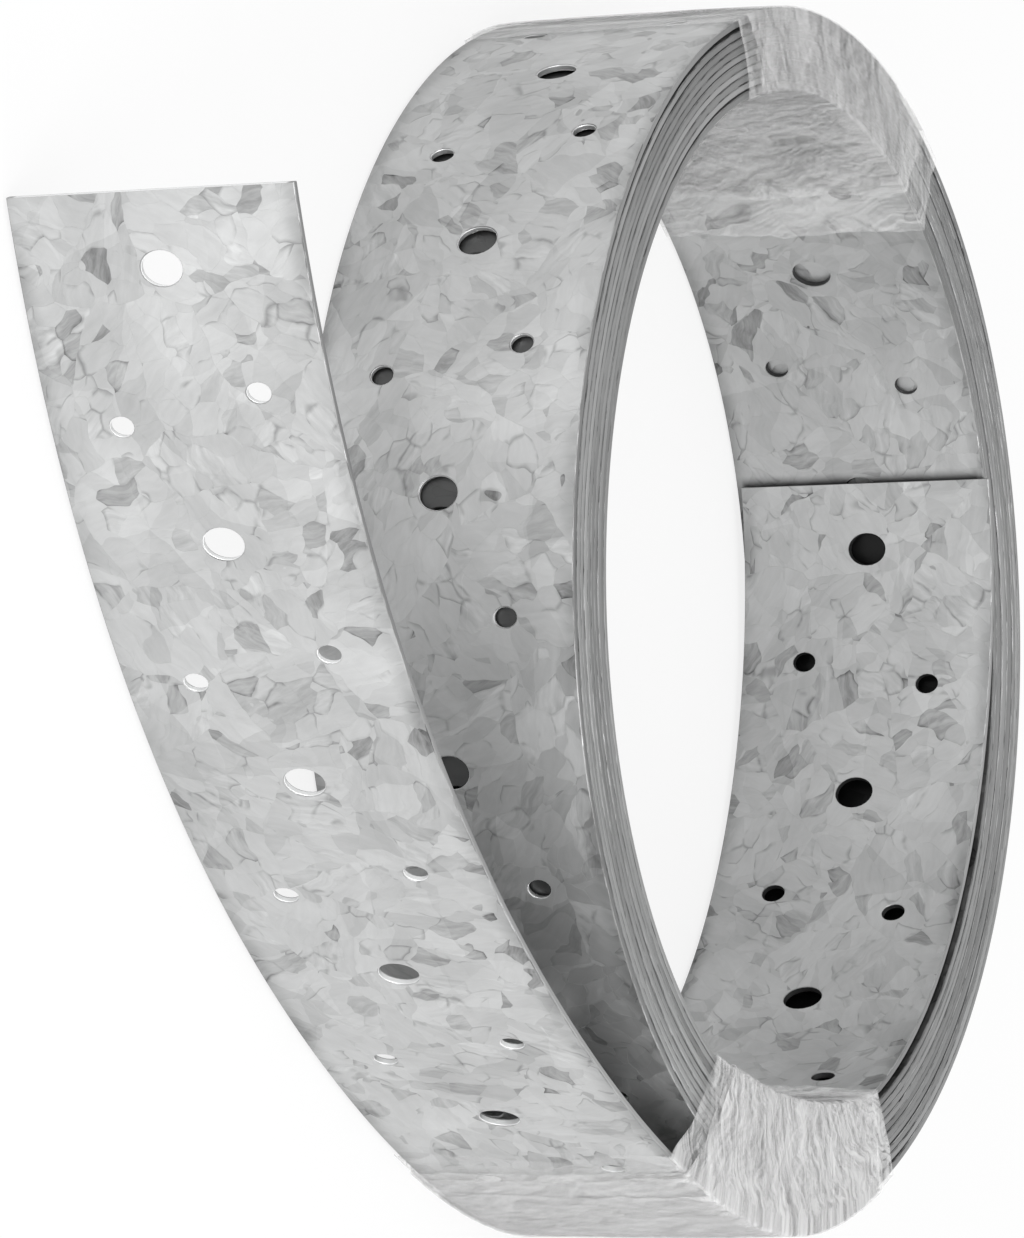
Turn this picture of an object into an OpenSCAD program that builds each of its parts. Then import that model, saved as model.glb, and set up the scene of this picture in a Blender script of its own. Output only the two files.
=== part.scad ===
// Coil of perforated galvanised steel strap, lying on its end, bound by wraps of stretch film.
// The coil's axis is Z, and the floor is z = 0. All sizes are in millimetres, all angles in degrees.

/* [Strap] */
// Width of the strap
strap_w = 60; // [40:1:80]
// Thickness of the strap
strap_t = 1.5; // [1:0.1:2.5]

/* [Perforation] */
// Diameter of the bolt holes along the middle of the strap
bolt_hole_d = 8.5; // [5:0.5:11]
// Diameter of the nail holes
nail_hole_d = 5; // [3:0.5:6]
// Distance from one bolt hole to the next
hole_pitch = 56.4; // [40:0.1:80]
// Distance between the two rows of nail holes, across the strap
nail_row_gap = 30; // [22:1:34]
// How far one nail hole of a pair lies ahead of the other, along the strap
nail_stagger = 5.7; // [0:0.1:12]
// Distance from the tail's tip to its first bolt hole
tail_margin = 15; // [12:1:28]
// Distance from the inner cut end to its first bolt hole
inner_margin = 15; // [12:1:28]

/* [Coil] */
// Outside diameter of the coil
coil_d = 255; // [220:1:300]
// Number of whole turns
turns = 10; // [5:1:14]
// Gap between two turns
turn_gap = 0.1; // [0.05:0.05:0.3]
// Rounding of the strap's slit edges, which widens the gap between the turns on the coil's ends
edge_round = 0.22; // [0.1:0.02:0.35]
// Depth of the open gap between the turns on the coil's ends
groove_depth = 2.5; // [1:0.1:6]
// Width of the gap where an end of the strap comes clear of the turns
clear_gap = 0.5; // [0.4:0.1:1]

/* [Outer end] */
// Radius to which the tail has sprung open
tail_r = 286; // [220:1:500]
// Length of the tail
tail_len = 326; // [200:1:360]

/* [Inner end] */
// Angle round the coil over which the inner end lies loose
inner_span = 114; // [90:1:130]
// How far the inner end stands off the turns at most
inner_spring = 4.6; // [2:0.1:7]
// How late along the loose end that place lies: 1 is halfway
inner_lean = 1.6; // [1:0.1:2]
// Gap between the cut end and the turns
inner_end_gap = 0.5; // [0.4:0.1:1.5]

/* [Film] */
// Thickness of the wound layers of film
film_t = 0.5; // [0.3:0.1:1]
// Clearance between the film and the curved faces of the strap
film_clear = 0.25; // [0.2:0.05:0.5]
// Middle of the upper wrap, as a direction from the coil's axis
upper_film_angle = 87; // [70:1:115]
// Width of the upper wrap, round the outside of the coil
upper_film_w = 122; // [80:1:160]
// How far the lower wrap reaches along the tail from where it leaves the coil
lower_film_tail_len = 62; // [30:1:80]
// How far the lower wrap reaches along the coil from the same place
lower_film_coil_len = 60; // [30:1:80]

/* [Hidden] */
$fn = 96;
deg = 180 / PI;
curve_step = 3;

// The turns: half A runs from wind_angle, where the tail leaves, through half a turn, and half B closes it.
// Their centres lie half a turn's rise apart, so that each half meets the next one smoothly.
turn_rise = strap_t + turn_gap;
build = turns * turn_rise;
wind_angle = -90;
wind_dir = direction(wind_angle);
centre_a = wind_dir * turn_rise / 4;
centre_b = -centre_a;
outer_r_a = coil_d / 2;
outer_r_b = outer_r_a - turn_rise / 2;
inner_r_a = outer_r_a - build + turn_gap;
inner_r_b = outer_r_b - build + turn_gap;

// The tail: an arc tangent to the outer turn. Its gap is closed until it is clear_gap wide.
tail_c = centre_a + wind_dir * (outer_r_a - tail_r);
tail_mid_r = tail_r - strap_t / 2;
tail_angle = tail_len / tail_mid_r * deg;
tail_close_len = sqrt(2 * (clear_gap - turn_gap) / (1 / outer_r_a - 1 / tail_r));
tail_close_angle = tail_close_len / outer_r_a * deg;

// The loose inner end, which carries on from the last turn
loose_r = outer_r_a - build;
loose_mid_r = loose_r - strap_t / 2 - inner_spring / 2;
loose_close_angle = inner_span * pow(asin((clear_gap - turn_gap) / inner_spring) / 180, 1 / inner_lean);

// Lengths along the middle of the strap's thickness, where the holes are measured
outer_mid_a = outer_r_a - strap_t / 2;
outer_mid_b = outer_r_b - strap_t / 2;
inner_mid_a = inner_r_a + strap_t / 2;
inner_mid_b = inner_r_b + strap_t / 2;
half_a_len = PI * outer_mid_a;
half_b_len = PI * outer_mid_b;
outer_run = tail_len + half_a_len + half_b_len;
loose_len = inner_span / deg * loose_mid_r;
inner_half_b_len = PI * inner_mid_b;
inner_half_a_len = inner_mid_a * (180 - inner_span) / deg;
inner_run = loose_len + inner_half_b_len + inner_half_a_len;

// Heights of the strap's lower edge and of its middle
strap_z = film_t;
mid_z = strap_z + strap_w / 2;

// How far a hole is drilled past the far face of a free stretch, and out of the face it starts from
drill_past = 0.3;
drill_out = 1;

// Angle by which the hollow of a film sleeve runs past its open ends
film_past = 3;

// Unit vector in a direction of the plan
function direction(a) = [cos(a), sin(a)];

// Gap between the loose end and the turns, at an angle along it
function loose_gap(a) =
    let (u = min(max(a / inner_span, 0), 1))
    turn_gap + (inner_end_gap - turn_gap) * u + inner_spring * sin(180 * pow(u, inner_lean));

// Radius of the loose end's outer face, a point at a depth below that face, and the face's direction
function loose_face(a) = inner_r_a - loose_gap(a);
function loose_point(a, depth) = centre_a + (loose_face(a) - depth) * direction(wind_angle + a);
function loose_facing(a) =
    wind_angle + a - atan((loose_face(a + 0.5) - loose_face(a - 0.5)) * deg / loose_face(a));

// Place on the outer face at a distance from the tail's tip: [centre, radius, angle]
function outer_place(s) =
    s < tail_len ? [tail_c, tail_r, wind_angle - (tail_len - s) / tail_mid_r * deg]
    : s < tail_len + half_a_len ? [centre_a, outer_r_a, wind_angle + (s - tail_len) / outer_mid_a * deg]
    : [centre_b, outer_r_b, wind_angle + 180 + (s - tail_len - half_a_len) / outer_mid_b * deg];

// Place on the outer face of the inner turn at a distance from the inner cut end: [centre, radius, angle]
function inner_place(s) =
    let (a = inner_span - s / loose_mid_r * deg)
    s < loose_len ? [loose_point(a, 0), 0, loose_facing(a)]
    : s < loose_len + inner_half_b_len ?
        [centre_b, inner_r_b + strap_t, wind_angle - (s - loose_len) / inner_mid_b * deg]
    : [centre_a, inner_r_a + strap_t,
        wind_angle - 180 - (s - loose_len - inner_half_b_len) / inner_mid_a * deg];

// Angles from one to another in even steps
function steps(from, to) =
    let (n = ceil(abs(to - from) / curve_step))
    [for (i = [0:n]) from + (to - from) * i / n];

// Points along an arc
function arc_points(centre, r, from, to) = [for (a = steps(from, to)) centre + r * direction(a)];

// Points along a face of the turns, which has one radius in half A and another in half B
function turn_points(r_a, r_b, from, to) =
    [for (a = steps(from, to))
        (a - wind_angle + 720) % 360 < 180 ? centre_a + r_a * direction(a) : centre_b + r_b * direction(a)];

// Outline of the upper wrap in plan, grown from the strap's faces and lengthened at both ends
function upper_outline(grow, past) =
    let (half = upper_film_w / 2 / outer_r_a * deg + past)
    concat(
        turn_points(outer_r_a + grow, outer_r_b + grow, upper_film_angle - half, upper_film_angle + half),
        turn_points(inner_r_a - grow, inner_r_b - grow, upper_film_angle + half, upper_film_angle - half));

// Outline of the lower wrap in plan: over the tail and the coil outside, over the loose end inside
function lower_outline(grow, past) =
    let (
        on_tail = wind_angle - lower_film_tail_len / tail_r * deg - past,
        on_coil = lower_film_coil_len / outer_r_a * deg + past,
        tail_edge = tail_c + tail_r * direction(on_tail),
        left = atan2(tail_edge.y, tail_edge.x))
    concat(
        arc_points(tail_c, tail_r + grow, on_tail, wind_angle),
        arc_points(centre_a, outer_r_a + grow, wind_angle + curve_step, wind_angle + on_coil),
        [for (a = steps(on_coil, 0)) loose_point(a, strap_t + grow)],
        arc_points(centre_b, inner_r_b - grow, wind_angle - curve_step, left));

// A band of the strap's width along an arc, between two radii
module band(centre, r_in, r_out, from, sweep) {
    translate([centre.x, centre.y, strap_z])
        rotate([0, 0, from])
            rotate_extrude(angle = sweep)
                translate([r_in, 0])
                    square([r_out - r_in, strap_w]);
}

// The open gap between two turns, cut into both ends of the coil along half a turn
module groove(centre, r, from) {
    half_w = turn_gap / 2 + edge_round;
    translate([centre.x, centre.y, strap_z])
        rotate([0, 0, from])
            rotate_extrude(angle = 180) {
                polygon([[r - half_w, 0], [r + half_w, 0], [r, groove_depth]]);
                polygon([[r - half_w, strap_w], [r, strap_w - groove_depth], [r + half_w, strap_w]]);
            }
}

// A round hole through the strap at a place on it, drilled past its inner and outer faces
module hole(place, d, z, past_inner, past_outer) {
    translate([place[0].x, place[0].y, z])
        rotate([0, 0, place[2]])
            translate([place[1] - strap_t - past_inner, 0, 0])
                rotate([0, 90, 0])
                    cylinder(d = d, h = strap_t + past_inner + past_outer);
}

// A hole at a distance from the tail's tip: right through the tail, or down to the next turn on the coil
module outer_hole(s, d, z) {
    hole(outer_place(s), d, z, s < tail_len ? drill_past : 0, drill_out);
}

// A hole at a distance from the inner cut end: right through the loose end, or out to the next turn
module inner_hole(s, d, z) {
    hole(inner_place(s), d, z, drill_out, s < loose_len ? drill_past : 0);
}

// Bolt holes and staggered pairs of nail holes on the tail and the outer turn
module outer_holes() {
    for (s = [tail_margin:hole_pitch:outer_run])
        outer_hole(s, bolt_hole_d, mid_z);
    for (s = [tail_margin + hole_pitch / 2:hole_pitch:outer_run], side = [-1, 1])
        outer_hole(s - side * nail_stagger / 2, nail_hole_d, mid_z + side * nail_row_gap / 2);
}

// The same pattern on the inner turn and its loose end
module inner_holes() {
    for (s = [inner_margin:hole_pitch:inner_run])
        inner_hole(s, bolt_hole_d, mid_z);
    for (s = [inner_margin + hole_pitch / 2:hole_pitch:inner_run], side = [-1, 1])
        inner_hole(s + side * nail_stagger / 2, nail_hole_d, mid_z + side * nail_row_gap / 2);
}

// The wound turns as one solid, with the gaps between them open on both ends
module wound_turns() {
    difference() {
        union() {
            band(centre_a, inner_r_a, outer_r_a, wind_angle, 180);
            band(centre_b, inner_r_b, outer_r_b, wind_angle + 180, 180);
        }
        for (k = [1:turns - 1]) {
            groove(centre_a, outer_r_a - k * turn_rise + turn_gap / 2, wind_angle);
            groove(centre_b, outer_r_b - k * turn_rise + turn_gap / 2, wind_angle + 180);
        }
    }
}

// The tail, and the narrow start of its gap, which is closed like the gaps between the turns
module tail() {
    band(tail_c, tail_r - strap_t, tail_r, wind_angle, -tail_angle);
    band(centre_a, outer_mid_a - turn_rise, outer_mid_a, wind_angle, -tail_close_angle);
}

// The loose inner end, with the narrow start of its gap closed
module loose_end() {
    translate([0, 0, strap_z])
        linear_extrude(strap_w)
            polygon(concat(
                [for (a = steps(0, inner_span)) loose_point(a, 0)],
                [for (a = steps(inner_span, 0)) loose_point(a, strap_t)]));
    band(centre_a, loose_r - strap_t / 2, inner_r_a + strap_t / 2, wind_angle, loose_close_angle);
}

// A sleeve of film round the section of the coil: a block on one outline, hollowed by another
module film_sleeve(outline, hollow) {
    difference() {
        linear_extrude(strap_w + 2 * film_t)
            polygon(outline);
        translate([0, 0, film_t])
            linear_extrude(strap_w)
                polygon(hollow);
    }
}

module strap() {
    color("lightgray")
        difference() {
            union() {
                wound_turns();
                tail();
                loose_end();
            }
            outer_holes();
            inner_holes();
        }
}

module film_wrap_upper() {
    color("white", 0.4)
        film_sleeve(upper_outline(film_clear + film_t, 0), upper_outline(film_clear, film_past));
}

module film_wrap_lower() {
    color("white", 0.4)
        film_sleeve(lower_outline(film_clear + film_t, 0), lower_outline(film_clear, film_past));
}

strap();
film_wrap_upper();
film_wrap_lower();
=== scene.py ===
"""A coil of punched, galvanised steel strap, held by wraps of clear stretch film."""

import logging
import math
from dataclasses import dataclass, field
from enum import Enum

import bmesh
import bpy
import numpy as np
from bmesh.types import BMesh, BMVert
from bpy.types import Material, Mesh, Node, Object
from bpy.types import NodeSocket as Socket
from mathutils import Matrix, Vector, noise
from mathutils.geometry import delaunay_2d_cdt


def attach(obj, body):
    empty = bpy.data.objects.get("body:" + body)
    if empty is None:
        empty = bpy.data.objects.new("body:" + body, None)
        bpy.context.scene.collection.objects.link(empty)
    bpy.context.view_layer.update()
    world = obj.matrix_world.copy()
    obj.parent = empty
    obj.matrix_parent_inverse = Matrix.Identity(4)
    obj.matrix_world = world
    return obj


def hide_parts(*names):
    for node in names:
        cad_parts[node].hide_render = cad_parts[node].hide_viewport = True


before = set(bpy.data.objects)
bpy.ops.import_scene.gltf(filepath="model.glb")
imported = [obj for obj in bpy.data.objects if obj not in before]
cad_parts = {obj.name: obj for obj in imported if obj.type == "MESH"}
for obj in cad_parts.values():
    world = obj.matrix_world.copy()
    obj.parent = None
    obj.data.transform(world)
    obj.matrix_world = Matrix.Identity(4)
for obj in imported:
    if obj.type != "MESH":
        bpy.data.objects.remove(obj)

Verts = list[BMVert]
Corners = tuple[float, float, float, float]

LOG = logging.getLogger("strap_coil")
BODY = "root"
UP = Vector((0.0, 0.0, 1.0))
FLAT_MAP = "flat"
FACING = "facing"
FILM_MAP = "film"
COIL_R = 0.12
FULL_TURN = 360.0
PETAL_GREYS = ((0.0, 0.255), (0.3, 0.29), (1.0, 0.335))
SHARD_GREYS = ((0.0, 0.03), (0.03, 0.08), (0.06, 0.12), (0.14, 0.16), (0.20, 0.20), (1.0, 0.225))


class Slot(Enum):
    """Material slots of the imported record."""

    ZINC = "zinc_steel"
    FILM = "stretch_film"


class Side(Enum):
    """Sides of the wound section that a film wrap crosses, in order."""

    OUTER = 0
    TOP = 1
    BORE = 2
    UNDER = 3


class Wiring:
    """Adds nodes to one tree and joins them."""

    def __init__(self, tree: bpy.types.NodeTree) -> None:
        """Keeps the tree to work on."""
        self.tree = tree

    def set_socket(self, socket: Socket, value: object) -> None:
        """Links a socket to another one, or writes its value."""
        if isinstance(value, Socket):
            self.tree.links.new(value, socket)
        else:
            socket.default_value = value

    def add(self, kind: str, inputs: dict | None = None, **settings: object) -> Node:
        """Adds one node.

        Args:
            kind: Blender's name of the node type.
            inputs: values or sockets for its inputs, by name or number.
            settings: properties of the node.

        Returns:
            The new node.
        """
        node = self.tree.nodes.new(kind)
        for name, value in settings.items():
            setattr(node, name, value)
        for name, value in (inputs or {}).items():
            self.set_socket(node.inputs[name], value)
        return node

    def math(self, operation: str, *values: object, clamp: bool = False) -> Socket:
        """Works one sum on numbers and returns its result socket."""
        node = self.add("ShaderNodeMath", dict(enumerate(values)), operation=operation, use_clamp=clamp)
        return node.outputs[0]

    def vector(self, operation: str, *values: object) -> Socket:
        """Works one sum on vectors and returns its vector socket."""
        node = self.add("ShaderNodeVectorMath", dict(enumerate(values)), operation=operation)
        return node.outputs["Vector"]

    def scaled(self, vector: Socket, factor: object) -> Socket:
        """Scales a vector by a number or socket."""
        node = self.add("ShaderNodeVectorMath", {0: vector, "Scale": factor}, operation="SCALE")
        return node.outputs["Vector"]

    def dot(self, first: object, second: object) -> Socket:
        """Gives the dot product of two vectors."""
        node = self.add("ShaderNodeVectorMath", {0: first, 1: second}, operation="DOT_PRODUCT")
        return node.outputs["Value"]

    def parts(self, vector: Socket) -> tuple[Socket, ...]:
        """Splits a vector into its three numbers."""
        return tuple(self.add("ShaderNodeSeparateXYZ", {0: vector}).outputs)

    def joined(self, x: object, y: object, z: object) -> Socket:
        """Joins three numbers into a vector."""
        return self.add("ShaderNodeCombineXYZ", {0: x, 1: y, 2: z}).outputs[0]

    def spread(self, value: object, low: float, high: float, to_low: float, to_high: float) -> Socket:
        """Maps a span of numbers smoothly onto another span and clamps it there."""
        node = self.add(
            "ShaderNodeMapRange",
            {0: value, 1: low, 2: high, 3: to_low, 4: to_high},
            interpolation_type="SMOOTHSTEP",
        )
        return node.outputs[0]

    def ramp(self, value: object, stops: tuple[tuple[float, float], ...]) -> Socket:
        """Turns a number into a grey by stops of (place, grey)."""
        node = self.add("ShaderNodeValToRGB", {0: value})
        line = node.color_ramp.elements
        while len(line) < len(stops):
            line.new(0.5)
        for stop, (place, grey) in zip(line, stops):
            stop.position = place
            stop.color = (grey, grey, grey, 1.0)
        return node.outputs[0]

    def mix(self, factor: object, first: object, second: object) -> Socket:
        """Mixes two numbers by a factor."""
        node = self.add("ShaderNodeMix", {0: factor, 2: first, 3: second}, data_type="FLOAT")
        return node.outputs[0]

    def noise(
        self, place: object, scale: float, detail: float = 2.0, rough: float = 0.5, out: str = "Fac"
    ) -> Socket:
        """Adds a noise texture at a place and returns its grey, or its colour."""
        given = {"Vector": place, "Scale": scale, "Detail": detail, "Roughness": rough}
        return self.add("ShaderNodeTexNoise", given).outputs[out]

    def stored(self, geometry: Socket, name: str, value: Socket) -> Socket:
        """Keeps a vector of each point of a geometry under a name."""
        node = self.add(
            "GeometryNodeStoreNamedAttribute",
            {"Geometry": geometry, "Name": name, "Value": value},
            data_type="FLOAT_VECTOR",
            domain="POINT",
        )
        return node.outputs[0]


def put(name: str, data: bpy.types.ID) -> Object:
    """Makes an object of some data and links it to the scene."""
    made = bpy.data.objects.new(name, data)
    bpy.context.scene.collection.objects.link(made)
    return made


def vectors(items: bpy.types.bpy_prop_collection, what: str) -> np.ndarray:
    """Reads one vector of each item of a mesh into the rows of an array."""
    values = np.empty(len(items) * 3, np.float32)
    items.foreach_get(what, values)
    return values.reshape(-1, 3)


def bridge(bm: BMesh, rows: list[Verts], closed: bool) -> None:
    """Joins each row of points to the next one with faces, all round or from end to end."""
    count = len(rows[0])
    for upper, lower in zip(rows, rows[1:]):
        for i in range(count if closed else count - 1):
            j = (i + 1) % count
            bm.faces.new((upper[i], upper[j], lower[j], lower[i]))


def new_finish(name: str) -> tuple[Material, Wiring, Node]:
    """Starts a node material.

    Args:
        name: the material's name.

    Returns:
        The material, the wiring of its tree and its Principled node.
    """
    material = bpy.data.materials.new(name)
    material.use_nodes = True
    return material, Wiring(material.node_tree), material.node_tree.nodes["Principled BSDF"]


@dataclass(frozen=True)
class OnStrap:
    """Flat coordinates of the strap, for the nodes of its finish."""

    w: Wiring
    along: Socket
    depth: Socket
    across: Socket
    place: Socket


@dataclass(frozen=True)
class ZincFinish:
    """Hot-dip zinc with large crystals on the faces and plain cut steel on the slit edges."""

    half_thick: float
    half_width: float
    outer_end: float
    under_start: float
    under_end: float
    patches_per_m: float = 52.0
    petals: float = 7.0
    shards_per_m: float = 232.0
    shard_slim: float = 0.66
    dots_per_m: float = 75.0
    # hole walls: painted light on the outermost turn and the tail, painted shade on the turns wound inside
    open_hole_painted_light: float = 0.85
    shut_hole_painted_shade: float = 0.08
    # painted shade: greys for the faces shut between turns, and the share of it kept on their slit edges
    covered_painted_shade: float = 0.10
    shut_in_painted_shade: float = 0.02
    painted_shade_share_on_edges: float = 0.35
    face_split: float = 30.0
    tilt: float = 0.08
    metal: float = 0.86
    rough: float = 0.42
    cut_rough: float = 0.46
    red_share: float = 0.992

    def make(self) -> Material:
        """Builds the material from the strap's own flat coordinates."""
        material, w, shader = new_finish("spangled_zinc")
        flat = w.add("ShaderNodeAttribute", attribute_name=FLAT_MAP).outputs["Vector"]
        along, depth, across = w.parts(flat)
        place = w.joined(along, w.math("MULTIPLY", depth, self.face_split), across)
        on = OnStrap(w, along, depth, across, place)
        petal, shards, rims, drawn = self.crystals(on)
        pick, _, kind = w.parts(shards.outputs["Color"])
        streak = w.noise(w.vector("MULTIPLY", drawn, (1.0, 1.0, 0.16)), 760.0, 4.0, 0.62)
        pick = w.math("ADD", pick, self.sparse(on))
        tone = self.crystal_tone(on, petal, pick, kind, streak)
        # painted shadows along the rims of some shards
        tone = w.math("SUBTRACT", tone, self.painted_rim_shadows(on, rims, kind))
        tone = w.math("SUBTRACT", tone, self.darker_edge_band(on))
        off_mid, off_line = w.math("ABSOLUTE", depth), w.math("ABSOLUTE", across)
        cut = w.spread(off_mid, self.half_thick * 0.72, self.half_thick * 0.80, 1.0, 0.0)
        bored = w.spread(off_line, self.half_width - 0.002, self.half_width - 0.001, 1.0, 0.0)
        # painted shade: the faces shut between turns are darkened, and their slit edges partly
        tone = w.mix(w.mix(bored, self.painted_shade_share_on_edges, 1.0), tone, self.painted_shade_between_turns(on, tone))
        # hole walls: painted light on the outermost turn and the tail, painted shade on the turns wound
        # inside
        hole_wall_painted_light_and_shade = w.mix(self.wound_in(on), self.open_hole_painted_light, self.shut_hole_painted_shade)
        tone = w.mix(cut, tone, w.mix(bored, self.cut_tone(on), hole_wall_painted_light_and_shade))
        red = w.math("MULTIPLY", tone, self.red_share)
        colour = w.add("ShaderNodeCombineColor", {0: red, 1: tone, 2: tone})
        w.set_socket(shader.inputs["Base Color"], colour.outputs[0])
        shader.inputs["Metallic"].default_value = self.metal
        rough = w.math("MULTIPLY_ADD", kind, 0.14, self.rough - 0.07)
        rough = w.math("MULTIPLY_ADD", streak, 0.06, rough)
        w.set_socket(shader.inputs["Roughness"], w.mix(cut, rough, self.cut_rough))
        w.set_socket(shader.inputs["Normal"], self.relief(w, drawn, shards, streak, cut))
        return material

    def wound_in(self, on: OnStrap) -> Socket:
        """Gives 1 on the turns that another turn covers, and 0 on the outermost one and the tail."""
        return on.w.spread(on.along, self.outer_end - 0.02, self.outer_end, 0.0, 1.0)

    def painted_shade_between_turns(self, on: OnStrap, tone: Socket) -> Socket:
        """Paints shade into the faces that lie shut between turns, which show only through the holes: near
        black under the loose inner end, dark on the other covered turns.
        """
        w = on.w
        outward = w.math("GREATER_THAN", on.depth, 0.0)
        covered_shade_mask = w.math("MULTIPLY", outward, self.wound_in(on))
        under = w.spread(on.along, self.under_start - 0.004, self.under_start, 0.0, 1.0)
        last = w.spread(on.along, self.under_end - 0.004, self.under_end, 1.0, 0.0)
        under = w.math("MULTIPLY", w.math("SUBTRACT", 1.0, outward), w.math("MULTIPLY", under, last))
        return w.mix(under, w.mix(covered_shade_mask, tone, self.covered_painted_shade), self.shut_in_painted_shade)

    def crystals(self, on: OnStrap) -> tuple[Socket, Node, Node, Socket]:
        """Crystals that grow in petals from the middle of each patch of the zinc, and shards over them.

        Args:
            on: flat coordinates.

        Returns:
            A random number of each petal, the shards, the lines between them and the coordinates they
            were drawn on.
        """
        w = on.w
        warp = w.vector("SUBTRACT", w.noise(on.place, 95.0, 2.0, 0.55, "Color"), (0.5, 0.5, 0.5))
        bent = w.vector("ADD", on.place, w.scaled(warp, 0.006))
        patches = w.add("ShaderNodeTexVoronoi", {"Vector": bent, "Scale": self.patches_per_m})
        own, turn, other = w.parts(patches.outputs["Color"])
        aside, _, above = w.parts(w.vector("SUBTRACT", bent, patches.outputs["Position"]))
        sector = w.math("MULTIPLY", w.math("ARCTAN2", above, aside), self.petals / math.tau)
        sector = w.math("FLOOR", w.math("MULTIPLY_ADD", turn, self.petals, sector))
        each = w.joined(sector, w.math("MULTIPLY", own, 91.0), w.math("MULTIPLY", other, 57.0))
        chance = w.add("ShaderNodeTexWhiteNoise", {"Vector": each})
        turned = w.add(
            "ShaderNodeVectorRotate",
            {"Vector": bent, "Angle": w.math("MULTIPLY", turn, math.tau)},
            rotation_type="Y_AXIS",
        )
        drawn = w.vector("MULTIPLY", turned.outputs[0], (1.0, 1.0, self.shard_slim))
        same = {"Vector": drawn, "Scale": self.shards_per_m}
        shards = w.add("ShaderNodeTexVoronoi", same)
        rims = w.add("ShaderNodeTexVoronoi", same, feature="DISTANCE_TO_EDGE")
        return chance.outputs["Value"], shards, rims, drawn

    def sparse(self, on: OnStrap) -> Socket:
        """How far dark shards are thinned out: least by one edge of the strap near its tip."""
        w = on.w
        slow = w.noise(w.joined(on.along, 0.0, on.across), 16.0)
        near_tip = w.spread(on.along, 0.02, 0.16, 1.0, 0.0)
        crowd = w.math("MULTIPLY", near_tip, w.spread(on.across, 0.0, self.half_width, 0.0, 1.0))
        return w.math("SUBTRACT", w.spread(slow, 0.35, 0.65, 0.04, -0.04), w.math("MULTIPLY", crowd, 0.08))

    def crystal_tone(
        self, on: OnStrap, petal: Socket, pick: Socket, kind: Socket, streak: Socket
    ) -> Socket:
        """Grey of the zinc.

        Args:
            on: flat coordinates.
            petal: random number of each petal, for its grey.
            pick: random number of each shard, for its grey.
            kind: random number of each shard, for its feathering.
            streak: feathering pattern.

        Returns:
            Socket with the grey.
        """
        w = on.w
        grey = w.math("ADD", w.ramp(petal, PETAL_GREYS), w.ramp(pick, SHARD_GREYS))
        odd = w.math("MAXIMUM", w.spread(kind, 0.86, 0.92, 0.0, 0.7), w.spread(pick, 0.06, 0.14, 1.0, 0.0))
        feather = w.mix(odd, 0.12, 0.46)
        grey = w.math("MULTIPLY_ADD", w.math("SUBTRACT", streak, 0.52), feather, grey)
        cloud = w.noise(on.place, 34.0, 5.0, 0.6)
        grey = w.math("MULTIPLY_ADD", w.math("SUBTRACT", cloud, 0.5), 0.26, grey)
        dots = w.add("ShaderNodeTexVoronoi", {"Vector": on.place, "Scale": self.dots_per_m})
        rare = w.spread(w.parts(dots.outputs["Color"])[0], 0.72, 0.74, 0.0, 1.0)
        dot = w.math("MULTIPLY", rare, w.spread(dots.outputs["Distance"], 0.02, 0.04, 0.3, 0.0))
        return w.math("SUBTRACT", grey, dot)

    def painted_rim_shadows(self, on: OnStrap, rims: Node, kind: Socket) -> Socket:
        """Short painted shadows along the rims of some shards."""
        w = on.w
        line = w.spread(rims.outputs["Distance"], 0.0, 0.12, 1.0, 0.0)
        some = w.spread(w.noise(on.place, 190.0), 0.48, 0.64, 0.0, 0.16)
        return w.math("MULTIPLY", w.math("MULTIPLY", line, some), w.spread(kind, 0.52, 0.60, 0.0, 1.0))

    def darker_edge_band(self, on: OnStrap) -> Socket:
        """Darker band along both slit edges, patchy along its length."""
        w = on.w
        band = w.spread(w.math("ABSOLUTE", on.across), self.half_width - 0.0045, self.half_width, 0.0, 1.0)
        patchy = w.spread(w.noise(on.place, 60.0, 3.0), 0.3, 0.7, 0.03, 0.18)
        return w.math("MULTIPLY", band, patchy)

    def cut_tone(self, on: OnStrap) -> Socket:
        """Grey of the slit edges, which differs from turn to turn."""
        w = on.w
        slow = w.noise(w.joined(on.along, 0.0, on.across), 7.0)
        fine = w.noise(w.joined(on.along, w.math("MULTIPLY", on.depth, 60.0), on.across), 90.0, 4.0, 0.65)
        return w.math("MULTIPLY_ADD", fine, 0.07, w.spread(slow, 0.3, 0.7, 0.17, 0.36))

    def relief(self, w: Wiring, drawn: Socket, shards: Node, streak: Socket, cut: Socket) -> Socket:
        """Slight tilt of each crystal and the grain of its feathering.

        Args:
            w: wiring of the tree.
            drawn: coordinates of the crystals.
            shards: crystal texture.
            streak: feathering pattern.
            cut: mask of the cut faces.

        Returns:
            Normal socket.
        """
        lean = w.vector("SUBTRACT", shards.outputs["Color"], (0.5, 0.5, 0.5))
        reach = w.vector("SUBTRACT", drawn, shards.outputs["Position"])
        height = w.math("MULTIPLY", w.dot(reach, lean), self.tilt)
        height = w.math("MULTIPLY_ADD", streak, 0.000010, height)
        height = w.math("MULTIPLY", height, w.math("SUBTRACT", 1.0, cut))
        bump = w.add("ShaderNodeBump", {"Strength": 1.0, "Distance": 1.0, "Height": height})
        return bump.outputs["Normal"]


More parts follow.
